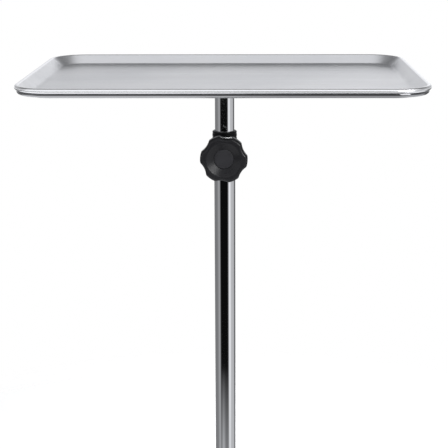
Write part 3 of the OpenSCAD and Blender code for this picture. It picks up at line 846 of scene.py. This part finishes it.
def cover_shell():
    """A dome that rolls over into a skirt. Down to the eave every column of points is the
    same; below it the skirt ends at the hub plate, or at the eave above a leg."""
    crown = cover_high[2]
    hole = boss_r + 0.2 * MM
    rise = crown - cover_eave - 1.5 * MM
    r = np.linspace(hole, cover_r - COVER_EDGE, 22)
    slope = ((r - hole) / (cover_r - COVER_EDGE - hole)) ** 2
    dome = np.column_stack([r, crown - 0.7 * rise * slope])
    start = dome[-1]
    reach = cover_r - start[0]
    drop = start[1] - cover_eave
    bend = np.radians(np.linspace(8, 90, 9))
    roll = start + np.column_stack([reach * np.sin(bend), -drop * (1 - np.cos(bend))])
    outer = np.concatenate([dome, roll])
    inner = outer - np.column_stack([
        np.linspace(0, COVER_T, len(outer)), np.linspace(COVER_T, 0, len(outer))
    ])
    gap = np.arcsin(NOTCH_HALF / cover_r)
    width = 2 * np.pi / LEG_COUNT
    local = np.concatenate([
        np.linspace(-gap, gap, 13), [gap + 0.0004],
        np.linspace(gap + 0.03, width - gap - 0.03, 13), [width - gap - 0.0004]
    ])
    a = (leg_angle(np.arange(1, LEG_COUNT + 1))[:, None] + local).ravel()
    notched = np.tile(np.abs(local) <= gap + 1e-9, LEG_COUNT)
    edge_z = np.where(notched, cover_eave - 0.2 * MM, cover_low[2])
    ring = np.stack([np.cos(a), np.sin(a)], axis=1)

    def rows_of(line):
        """Each (radius, height) carried round, with the height the same in a row."""
        flat = line[:, :1, None] * ring
        return np.concatenate([flat, np.repeat(line[:, 1:2, None], len(a), axis=1)], axis=-1)

    def skirt(r, share):
        """A row part of the way from the eave down to the skirt's own lower edge."""
        z = cover_eave + (edge_z - cover_eave) * share
        return np.column_stack([r * ring, z])[None]

    down = [skirt(cover_r, s) for s in (0.05, 0.5, 0.98)]
    up = [skirt(cover_r - COVER_T, s) for s in (1.0, 0.5, 0.05)]
    return np.concatenate([rows_of(outer), *down, skirt(cover_r - 0.3 * MM, 1.0), *up,
                           rows_of(inner[::-1])])


piece = make_piece("hub_cover_dome", (cover_shell(), True))
dress(piece, SOFT_CHROME, "root", "chrome_plate", "hub_cover")

# %% [markdown]
# ## The casters
# Each caster has a moulded housing: a hood over both wheels, a web between them that
# holds the axle, and a boss at the back for the stem. The frame says where each stem and
# each axle is, and the way from one to the other is the way that the caster trails. All
# the shapes are worked out in the caster's own directions: x along the trail, y along
# the axle, z up.

# %% Places of a caster
def caster_frame(n):
    """The floor under the stem, the trailing direction and the axle's direction."""
    stem = middle(f"caster_{n}_stem") * (1, 1, 0)
    trail = unit((middle(f"caster_{n}_axle") - stem) * (1, 1, 0))
    return stem, trail, np.array([-trail[1], trail[0], 0])


def stood(points, n):
    """Points in a caster's own directions, put in its place."""
    stem, trail, side = caster_frame(n)
    return stem + points[..., :1] * trail + points[..., 1:2] * side + points[..., 2:] * (0, 0, 1)


WHEEL_R = middle("caster_1_axle")[2]
TRAIL = float(np.linalg.norm((middle("caster_1_axle") - middle("caster_1_stem"))[:2]))
WHEEL_IN, WHEEL_W = 5 * MM, 15 * MM
AXLE_R = 3.1 * MM
print("wheel radius", round(WHEEL_R / MM, 1), "trail", round(TRAIL / MM, 1), "mm")

# %% Housing
HOOD_R, HOOD_T = 28.5 * MM, 2.3 * MM
HOOD_HALF = 20.5 * MM
HOOD_FROM, HOOD_TO = 33, 169
WEB_HALF, WEB_UP, EYE_R = 4.3 * MM, 100, 10 * MM
BOSS_HALF, BOSS_FOOT = 11 * MM, 6 * MM
SHOULDER_TOP, SHOULDER_T = 53 * MM, 8 * MM
HOUSING_TOP = corners("caster_1_housing")[1][2]
LEVER_ANGLE, LEVER_REACH = np.radians(34), 33 * MM
PIVOT = (TRAIL + LEVER_REACH * np.cos(LEVER_ANGLE), WHEEL_R + LEVER_REACH * np.sin(LEVER_ANGLE))
LUG_R, LUG_T, LUG_Y = 3.4 * MM, 3 * MM, 18.5 * MM
BRAKED = (1, 4)


def hood(n):
    """A thin bar along an arc round the axle, its width across both wheels."""
    line = arc((TRAIL, WHEEL_R), HOOD_R - HOOD_T / 2, HOOD_FROM, HOOD_TO, 48)
    path = np.column_stack([line[:, 0], 0 * line[:, 0], line[:, 1]])
    path, width, thick = eased(path, 2 * HOOD_HALF, HOOD_T, 0.9 * MM)
    return stood(bar(path, (0, 1, 0), width, thick, 1.0 * MM), n)


def upright_plate(n, centre, y, reach, half, edge):
    """A flat plate with a round-edged rim, for an outline given as its reach in evenly
    spaced directions: out from the middle of one face, over the rim, back to the other."""
    a = np.linspace(0, 2 * np.pi, len(reach), endpoint=False)
    rim_line = rim_arcs(edge, half)
    inset = rim_line[:, :1]
    inset = np.concatenate([inset[:1] + edge, inset, inset[-1:] + edge])
    radius = np.pad(np.maximum(reach - inset, 0), ((1, 1), (0, 0)))
    level = y + np.pad(rim_line[:, 1], 2, "edge")[:, None] + 0 * radius
    x, z = centre[0] + radius * np.cos(a), centre[1] + radius * np.sin(a)
    return stood(np.stack([x, level, z], axis=-1), n)


def smooth(x, low, high):
    """0 below low, 1 above high and an S-curve, 3 t^2 - 2 t^3, between."""
    t = np.clip((x - low) / (high - low), 0, 1)
    return t * t * (3 - 2 * t)


def web(n):
    """The plate between the wheels: it fills the hood above and narrows to a round eye
    at the axle below."""
    a = np.linspace(0, 2 * np.pi, 180, endpoint=False)
    off = np.abs(off_nearest(a, np.radians(WEB_UP)))
    reach = EYE_R + (HOOD_R - 1.4 * MM - EYE_R) * (1 - smooth(off, 0.95, 1.75))
    return upright_plate(n, (TRAIL, WHEEL_R), 0, reach, WEB_HALF, 0.8 * MM)


def stem_boss(n):
    """The upright boss, flared where it grows out of the hood."""
    foot = WHEEL_R + BOSS_FOOT
    line = rounded(
        [(0, foot), (WEB_HALF + 1 * MM, foot), (BOSS_HALF - 1.5 * MM, 45 * MM),
         (BOSS_HALF, 50 * MM), (BOSS_HALF, HOUSING_TOP), (0, HOUSING_TOP)],
        np.array([0, 1, 2, 2, 1.2, 0]) * MM + 1e-9, closed=False, steps=5,
    )
    return turned(line, caster_frame(n)[0], turns=72)


def shoulder(n):
    """A block that ties the boss into the top of the hood."""
    x = np.linspace(-0.2 * BOSS_HALF, TRAIL + 4 * MM, 16)
    fall = smooth(x, 0, TRAIL)
    path = np.column_stack([x, 0 * x, SHOULDER_TOP - 1.5 * MM * fall - SHOULDER_T / 2])
    path, width, thick = eased(path, 2 * BOSS_HALF - 5 * MM * fall, SHOULDER_T, 1.5 * MM)
    return stood(bar(path, (0, 1, 0), width, thick, 2.0 * MM), n)


def lug(n, y):
    """One ear for the lever's pin, from the hood out to the pin and round it."""
    a = np.linspace(0, 2 * np.pi, 72, endpoint=False)
    off = np.abs(off_nearest(a, LEVER_ANGLE + np.pi))
    reach = LUG_R + 3.6 * MM * (1 - smooth(off, 0.25, 1.1))
    return upright_plate(n, PIVOT, y, reach, LUG_T / 2, 0.6 * MM)


for n in range(1, LEG_COUNT + 1):
    shells = [hood(n), web(n), stem_boss(n), shoulder(n)]
    if n in BRAKED:
        shells += [lug(n, LUG_Y), lug(n, -LUG_Y)]
    piece = make_piece(f"caster_{n}_shell", *[(shell, False) for shell in shells])
    dress(piece, CASTER_PLASTIC, f"caster_{n}", "caster_plastic", f"caster_{n}_housing")

# %% [markdown]
# ## Wheels
# A wheel is a hard core with a soft tread moulded round it. The core's outer face is
# dished and has five shallow pockets between its spokes. The pockets are worked into the
# height of the surface: their depth is one smooth step in radius times another in angle.

# %% Wheels
TREAD_IN = 20.8 * MM
SPOKES = 5
POCKET_DEPTH = 2.2 * MM
FACE_DISH = 1.2 * MM


def tread_line():
    """The tread's section: round shoulders outside and a flat seat on the core."""
    line = [(TREAD_IN, 0.3 * MM), (WHEEL_R, 0), (WHEEL_R, WHEEL_W),
            (TREAD_IN, WHEEL_W - 0.3 * MM)]
    return rounded(line, np.array([0.4, 3, 3, 0.4]) * MM, steps=8)


def core_grid(base, axis):
    """The core's rows go from the bore out along its inner face, over the rim, and back in
    over its outer face, where the pockets are pressed in."""
    rim = TREAD_IN - 0.05 * MM
    inner = [(AXLE_R, 0.1 * MM), (9 * MM, 0.1 * MM), (11 * MM, 2.5 * MM), (18.4 * MM, 2.5 * MM),
             (19.6 * MM, 0.7 * MM), (rim, 0.7 * MM), (rim, WHEEL_W - 0.7 * MM)]
    r = np.concatenate([
        np.linspace(rim - 0.8 * MM, 8.2 * MM, 34), np.linspace(8 * MM, AXLE_R, 8)
    ])
    face = WHEEL_W - 0.7 * MM - FACE_DISH * (1 - smooth(r, 17 * MM, 20 * MM))
    face = face - 0.9 * MM * (1 - smooth(r, 6.6 * MM, 7.2 * MM))
    line = np.concatenate([np.array(inner), np.column_stack([r, face])])
    grid = turned(line, base, axis, 120)
    off = np.abs(off_nearest(np.linspace(0, 2 * np.pi, 120, endpoint=False), 0, SPOKES))
    radial = smooth(r, 9.2 * MM, 10.4 * MM) * (1 - smooth(r, 16.2 * MM, 17.4 * MM))
    pocket = radial[:, None] * smooth(off * r[:, None], 1.3 * MM, 2.6 * MM)
    grid[len(inner):] -= POCKET_DEPTH * pocket[..., None] * across(axis)[2]
    return grid


for n in range(1, LEG_COUNT + 1):
    stem, trail, side = caster_frame(n)
    for hand, way in (("left", 1), ("right", -1)):
        node = f"wheel_{n}_{hand}"
        base = stem + TRAIL * trail + np.array([0, 0, WHEEL_R]) + way * WHEEL_IN * side
        core = make_piece(node + "_core", (core_grid(base, way * side), True))
        dress(core, CASTER_PLASTIC, node, "caster_plastic", node)
        tread = make_piece(node + "_tread", (turned(tread_line(), base, way * side, 120), True))
        dress(tread, RUBBER, node, "wheel_rubber")

# %% [markdown]
# ## Foot levers
# A foot lever is one moulding: a pedal that the shoe presses, a barrel round its pin and
# a toe that comes down on both treads. It is a bar whose thickness swells at the barrel,
# with three low ribs across the pedal for grip.

# %% Levers
LEVER_W = 30 * MM
TOE_R, TOE_ANGLE = 29.6 * MM, 13


def lever(n):
    """The path runs from the pedal's end over the pin to the toe; the thickness is 2.2 mm
    plus a bell round the pin, plus the ribs' small sine waves on the pedal."""
    pivot = np.array(PIVOT)
    toe = arc((TRAIL, WHEEL_R), TOE_R, TOE_ANGLE, TOE_ANGLE, 1)[0]
    line = [pivot + np.array([21.5, 6.6]) * MM, pivot + np.array([9, 2.2]) * MM, pivot, toe]
    xz = rounded(line, np.array([1e-6, 8, 3, 1e-6]) * MM, closed=False, steps=10)
    t = np.linspace(0, len(xz) - 1, 90)
    xz = np.column_stack([np.interp(t, np.arange(len(xz)), xz[:, k]) for k in (0, 1)])
    reach = np.linalg.norm(xz - pivot, axis=1)
    on_pedal = (xz[:, 0] - pivot[0]) > 8 * MM
    thick = 2.2 * MM + 4.0 * MM * np.exp(-(reach / (3.0 * MM)) ** 2)
    thick += np.where(xz[:, 0] < pivot[0], 1.0 * MM * smooth(reach, 3 * MM, 6 * MM), 0)
    thick += on_pedal * 0.35 * MM * (1 + np.sin(reach / (0.62 * MM)))
    path = np.stack([xz[:, 0], 0 * t, xz[:, 1]], axis=1)
    path, width, thick = eased(path, LEVER_W, thick, 0.8 * MM)
    return stood(bar(path, (0, 1, 0), width, thick, 0.9 * MM), n)


for k, n in enumerate(BRAKED, 1):
    piece = make_piece(f"foot_lever_{k}", (lever(n), False))
    dress(piece, CASTER_PLASTIC, f"brake_lever_{k}", "caster_plastic", f"brake_lever_{k}")

# %% [markdown]
# ## Parts that keep their own shape
# The screws, the nut, the shoe, the stems and the pins are exact already, so they stay as
# they are and only take a finish.

# %% Finishes on the frame's own nodes
KEPT = {"clamp_nut": BRASS, "brake_shoe": BRASS, "mast_foot": CASTER_PLASTIC}
for name, node in NODES.items():
    if not node.hide_render:
        node.data.materials.clear()
        node.data.materials.append(KEPT.get(name, ZINC))
        print("kept", name)

# %% [markdown]
# ## The studio
# Chrome shows its surroundings, so a studio for it is a room of broad calm tones: a dark
# front where the camera stands, a bright panel to the right of it, mid grey to the sides,
# and a light ceiling. The room is only a pattern of directions: a turn round the horizon
# picks the tone, and the height blends it into the ceiling or into the ground. Over the
# dark front hangs a soft box that fades towards the back, where a paler sweep rises to a
# skyline. The camera itself sees plain white.

# %% World
GREY = np.array([0.985, 0.992, 1.025])
HORIZON = [(-180, 0.22), (-100, 0.21), (-80, 0.29), (-64, 0.42), (-56, 0.22), (-46, 0.004),
           (30, 0.004), (36, 0.10), (44, 0.60), (54, 1.02), (64, 0.78), (76, 0.54), (112, 0.52),
           (132, 0.12), (180, 0.10)]
GROUND = [(-180, 0.24), (-90, 0.24), (-70, 0.42), (-50, 0.42), (-20, 0.85), (-4, 0.60),
          (6, 0.40), (30, 0.40), (50, 0.75), (75, 0.54), (112, 0.52), (136, 0.22), (180, 0.22)]
SOFT_BOX = [(0.0, 0.97), (0.45, 0.95), (0.66, 0.92), (0.73, 0.90), (1.0, 0.20)]
SKYLINE = [(0.0, 0.42), (0.2, 0.62), (0.36, 0.86), (0.5, 0.93), (0.66, 1.06), (0.8, 0.70),
           (1.0, 0.42)]

world = bpy.data.worlds.new("studio")
bpy.context.scene.world = world
world.use_nodes = True
tree = world.node_tree
tree.nodes.clear()


def math_node(operation, *values, clamp=False):
    """One arithmetic node; its values are numbers or other nodes' outputs."""
    node = tree.nodes.new("ShaderNodeMath")
    node.operation, node.use_clamp = operation, clamp
    for socket, value in zip(node.inputs, values):
        if isinstance(value, (int, float)):
            socket.default_value = value
        else:
            tree.links.new(value, socket)
    return node.outputs["Value"]


def tone_ramp(value, tones):
    """Cool grey tones at given places from 0 to 1, eased from each to the next."""
    ramp = tree.nodes.new("ShaderNodeValToRGB")
    ramp.color_ramp.interpolation = "EASE"
    elements = ramp.color_ramp.elements
    while len(elements) < len(tones):
        elements.new(0.5)
    for element, (place, tone) in zip(elements, tones):
        element.position, element.color = place, (*(tone * GREY), 1)
    tree.links.new(value, ramp.inputs["Fac"])
    return ramp.outputs["Color"]


def blend(factor, first, second):
    """A mix of two colours."""
    node = tree.nodes.new("ShaderNodeMix")
    node.data_type = "RGBA"
    for value, socket in ((factor, "Factor"), (first, 6), (second, 7)):
        tree.links.new(value, node.inputs[socket])
    return node.outputs[2]


def step_up(value, low, high):
    """0 where the value is below low, 1 above high, and a straight rise between."""
    return math_node("MULTIPLY_ADD", value, 1 / (high - low), -low / (high - low), clamp=True)


def round_ramp(tones):
    """Tones given by the turn in degrees, 0 to the front and 90 to the right."""
    return tone_ramp(turn, [(0.5 + degrees / 360, tone) for degrees, tone in tones])


parts = tree.nodes.new("ShaderNodeSeparateXYZ")
direction = tree.nodes.new("ShaderNodeTexCoord").outputs["Generated"]
tree.links.new(direction, parts.inputs["Vector"])
east, north, up = parts.outputs
down = math_node("MULTIPLY", up, -1.0)
turn = math_node("ARCTAN2", east, math_node("MULTIPLY", north, -1.0))
turn = math_node("MULTIPLY_ADD", turn, 1 / (2 * np.pi), 0.5)

# %% Tones of the room
softbox = tone_ramp(step_up(north, -0.6, 0.15), SOFT_BOX)
skyline = tone_ramp(step_up(east, -0.6, 0.6), SKYLINE)
sweep = tone_ramp(step_up(up, -0.09, 0.01), [(0.0, 1.0), (1.0, 0.0)])
skyline = blend(sweep, skyline, tone_ramp(sweep, [(0.0, 1.0), (1.0, 1.2)]))
back_sky = blend(step_up(up, 0.36, 0.52), skyline, softbox)
front_sky = tone_ramp(step_up(east, -0.12, 0.06), [(0.0, 0.95), (1.0, 0.50)])
front_sky = blend(step_up(up, 0.3, 0.6), front_sky, softbox)
sky = blend(step_up(north, -0.1, 0.1), front_sky, back_sky)

near = tone_ramp(step_up(east, -0.12, 0.10), [(0.0, 1.0), (1.0, 0.80)])
steep = tone_ramp(step_up(east, -0.06, 0.02), [(0.0, 0.85), (1.0, 0.02)])
ground = blend(step_up(down, 0.47, 0.53), round_ramp(GROUND), near)
ground = blend(step_up(down, 0.90, 0.96), ground, steep)
below = blend(step_up(down, 0.385, 0.50), round_ramp(HORIZON), ground)
room = blend(step_up(up, -0.15, -0.11), below, sky)

background = tree.nodes.new("ShaderNodeBackground")
tree.links.new(room, background.inputs["Color"])
backdrop = tree.nodes.new("ShaderNodeBackground")
backdrop.inputs["Color"].default_value = (1, 1, 1, 1)
seen = tree.nodes.new("ShaderNodeLightPath").outputs["Is Camera Ray"]
chooser = tree.nodes.new("ShaderNodeMixShader")
for value, socket in zip((seen, background.outputs[0], backdrop.outputs[0]), chooser.inputs):
    tree.links.new(value, socket)
output = tree.nodes.new("ShaderNodeOutputWorld")
tree.links.new(chooser.outputs[0], output.inputs["Surface"])
print("the room has", len(tree.nodes), "nodes")

# %% [markdown]
# Three soft panels add the direction that a room alone lacks. The key is up to the right
# and a broad one hangs overhead; neither shows in the chrome, where it would be a blotch.
# A low one below the key does show, as the sheen on the knob and on the front of the
# bead. The floor is a pale round mat whose edge fades into the white of the room.

# %% Lights and floor
def panel(name, place, aim, size, power, mirrored=True):
    """A square soft light at a place, turned to face a point. One that isn't mirrored lights
    the surfaces but doesn't show in them."""
    data = bpy.data.lights.new(name, "AREA")
    data.shape, data.size, data.energy = "SQUARE", size, power
    light = bpy.data.objects.new(name, data)
    light.location = place
    light.rotation_mode = "QUATERNION"
    light.rotation_quaternion = (Vector(aim) - Vector(place)).to_track_quat("-Z", "Y")
    light.visible_glossy = mirrored
    bpy.context.scene.collection.objects.link(light)


panel("key_panel", (1.5, -1.5, 2.2), (0, 0, 0.75), 1.2, 60, mirrored=False)
panel("low_panel", (1.35, -1.6, 1.55), (0, 0, 0.72), 1.1, 38)
panel("top_panel", (-0.2, 0.3, 2.9), (0, 0, 0.7), 1.8, 34, mirrored=False)

FLOOR_R, FADE_FROM, FLOOR_Z = 1.12, 0.72, -0.2 * MM
rings = np.array([0, 0.2, 0.45, 0.7, 1.0])[:, None] * FLOOR_R
a = np.linspace(0, 2 * np.pi, 96, endpoint=False)
mat_grid = np.stack([rings * np.cos(a), rings * np.sin(a), 0 * rings * a + FLOOR_Z], axis=-1)
floor_mesh = bpy.data.meshes.new("floor_mat")
mat_cells = cells(*mat_grid.shape[:2], False)
floor_mesh.from_pydata(mat_grid.reshape(-1, 3).tolist(), [], mat_cells.tolist())
floor = bpy.data.objects.new("floor_mat", floor_mesh)
bpy.context.scene.collection.objects.link(floor)

floor.visible_glossy = False
floor_paint = finish("pale_floor", Base_Color=(0.86, 0.86, 0.86, 1), Roughness=0.8)
nodes = floor_paint.node_tree.nodes
spot = nodes.new("ShaderNodeTexGradient")
spot.gradient_type = "SPHERICAL"
centred = nodes.new("ShaderNodeMapping")
centred.inputs["Scale"].default_value = (1 / FLOOR_R,) * 3
place = nodes.new("ShaderNodeTexCoord").outputs["Object"]
link(floor_paint, place, centred.inputs["Vector"])
link(floor_paint, centred.outputs["Vector"], spot.inputs["Vector"])
fade = spread(floor_paint, spot.outputs["Fac"], 0.0, 1.0, 0.02, 1 - FADE_FROM / FLOOR_R)
link(floor_paint, fade, "Alpha")
floor.data.materials.append(floor_paint)

bpy.context.scene.view_settings.view_transform = "Standard"
